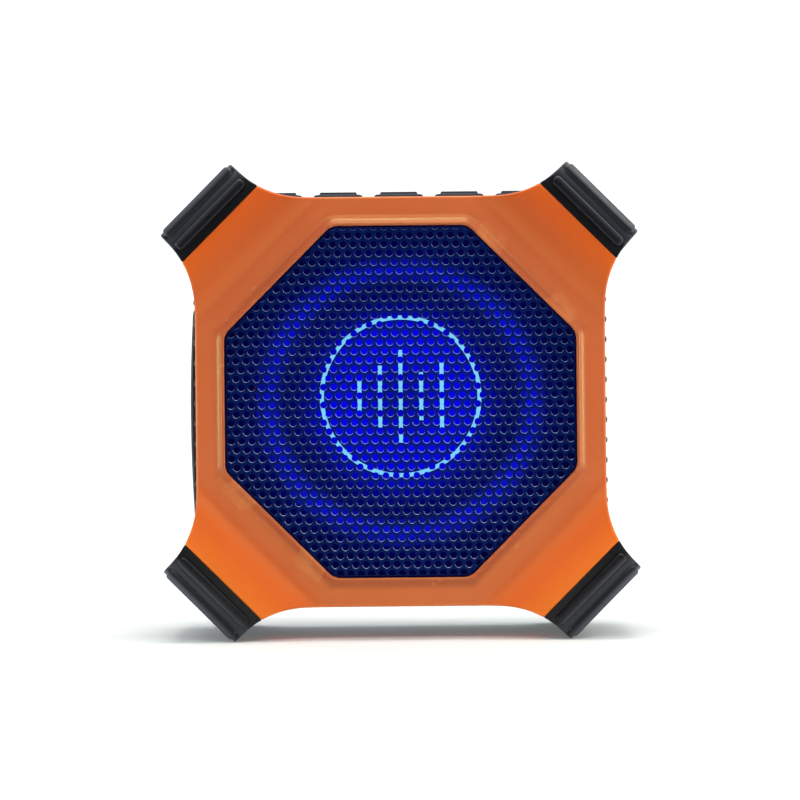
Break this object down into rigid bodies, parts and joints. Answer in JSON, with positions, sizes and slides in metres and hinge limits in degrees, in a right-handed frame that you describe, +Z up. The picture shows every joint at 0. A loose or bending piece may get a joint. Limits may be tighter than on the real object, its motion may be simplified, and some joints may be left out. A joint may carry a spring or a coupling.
{
  "type": "portable bluetooth speaker",
  "caption": "Rugged square portable loudspeaker with an octagonal metal grille, ribbed rubber corner bumpers, a row of top buttons, a hinged port door and a passive radiator behind.",
  "frame": {"origin": "on the standing plane, under the middle of the speaker: the flats of the two lower corner bumpers rest on z = 0", "axes": "+Z up, +X to the right seen from the front, and the grille faces -Y"},
  "size_m": [0.1394, 0.0596, 0.1394],
  "materials": {
    "orange_shell": "satin, moulded in colour",
    "bumper_rubber": "moulded, lightly grained",
    "button_rubber": "silicone, moulded",
    "black_plastic": "fine spark-eroded grain",
    "grille_paint": "perforated sheet, satin paint",
    "diffuser": "translucent, lit",
    "cone_paper": "pressed, coated",
    "surround_rubber": "butyl roll",
    "spider_cloth": "resin-dipped cloth",
    "seal_rubber": "moulded",
    "steel": "zinc plated",
    "socket_shell": "nickel plated",
    "ferrite": "sintered, dull",
    "copper_wire": "enamelled copper wire",
    "circuit_board": "solder mask over glass epoxy",
    "chip_case": "moulded epoxy",
    "cell_wrap": "heat-shrunk sleeve",
    "lead_sleeve": "wire insulation"
  },
  "bodies": {
    "speaker_body": {"front_bezel": "orange_shell", "front_grille": "grille_paint", "baffle": "black_plastic", "rear_housing": "black_plastic", "rear_guard": "black_plastic", "housing_seal": "seal_rubber", "bumper_top_right": "bumper_rubber", "bumper_top_left": "bumper_rubber", "bumper_bottom_left": "bumper_rubber", "bumper_bottom_right": "bumper_rubber", "side_grip_right": "bumper_rubber", "side_grip_left": "bumper_rubber", "button_strip": "button_rubber", "button_board": "circuit_board", "port_door_pin": "steel", "usb_socket": "socket_shell", "aux_socket": "chip_case", "main_board": "circuit_board", "wireless_module": "socket_shell", "amplifier_chip": "chip_case", "battery_cell_right": "cell_wrap", "battery_cell_top": "cell_wrap", "battery_saddle_right": "black_plastic", "battery_saddle_top": "black_plastic", "driver_lead": "lead_sleeve", "battery_lead": "lead_sleeve", "button_lead": "lead_sleeve", "light_lead": "lead_sleeve", "driver_gasket": "seal_rubber", "driver_basket": "steel", "driver_surround": "surround_rubber", "driver_spider": "spider_cloth", "driver_top_plate": "steel", "driver_magnet": "ferrite", "driver_yoke": "steel", "light_board": "circuit_board", "light_ring": "diffuser", "radiator_frame": "black_plastic", "radiator_surround": "surround_rubber", "housing_screw_top_right": "steel", "housing_screw_top_left": "steel", "housing_screw_bottom_left": "steel", "housing_screw_bottom_right": "steel", "driver_screw_top": "steel", "driver_screw_left": "steel", "driver_screw_bottom": "steel", "driver_screw_right": "steel"},
    "cone_assembly": {"driver_cone": "cone_paper", "driver_dust_cap": "cone_paper", "driver_voice_coil": "copper_wire"},
    "radiator_diaphragm": {"radiator_plate": "black_plastic", "radiator_weight": "steel"},
    "door": {"port_door": "bumper_rubber", "port_door_seal": "seal_rubber"},
    "power_button_body": {"power_button": "button_rubber"},
    "volume_down_button_body": {"volume_down_button": "button_rubber"},
    "play_button_body": {"play_button": "button_rubber"},
    "volume_up_button_body": {"volume_up_button": "button_rubber"},
    "light_button_body": {"light_button": "button_rubber"}
  },
  "joints": [
    {"name": "power_press", "type": "slide", "parent": "speaker_body", "child": "power_button_body", "axis": [0, 0, -1], "range_m": [0, 0.0008], "stiffness_N_per_m": 2500, "springref_m": -0.0004},
    {"name": "volume_down_press", "type": "slide", "parent": "speaker_body", "child": "volume_down_button_body", "axis": [0, 0, -1], "range_m": [0, 0.0008], "stiffness_N_per_m": 2500, "springref_m": -0.0004},
    {"name": "play_press", "type": "slide", "parent": "speaker_body", "child": "play_button_body", "axis": [0, 0, -1], "range_m": [0, 0.0008], "stiffness_N_per_m": 2500, "springref_m": -0.0004},
    {"name": "volume_up_press", "type": "slide", "parent": "speaker_body", "child": "volume_up_button_body", "axis": [0, 0, -1], "range_m": [0, 0.0008], "stiffness_N_per_m": 2500, "springref_m": -0.0004},
    {"name": "light_press", "type": "slide", "parent": "speaker_body", "child": "light_button_body", "axis": [0, 0, -1], "range_m": [0, 0.0008], "stiffness_N_per_m": 2500, "springref_m": -0.0004},
    {"name": "port_door_hinge", "type": "hinge", "parent": "speaker_body", "child": "door", "pos_m": [-0.0604, 0.0186, 0.0663], "axis": [0, 0, -1], "range_deg": [0, 110]},
    {"name": "cone_travel", "type": "slide", "parent": "speaker_body", "child": "cone_assembly", "axis": [0, -1, 0], "range_m": [-0.0015, 0.0015], "stiffness_N_per_m": 2200, "deforming": ["driver_surround", "driver_spider"]},
    {"name": "radiator_travel", "type": "slide", "parent": "speaker_body", "child": "radiator_diaphragm", "axis": [0, 1, 0], "range_m": [-0.002, 0.002], "stiffness_N_per_m": 1500, "deforming": ["radiator_surround"]}
  ]
}
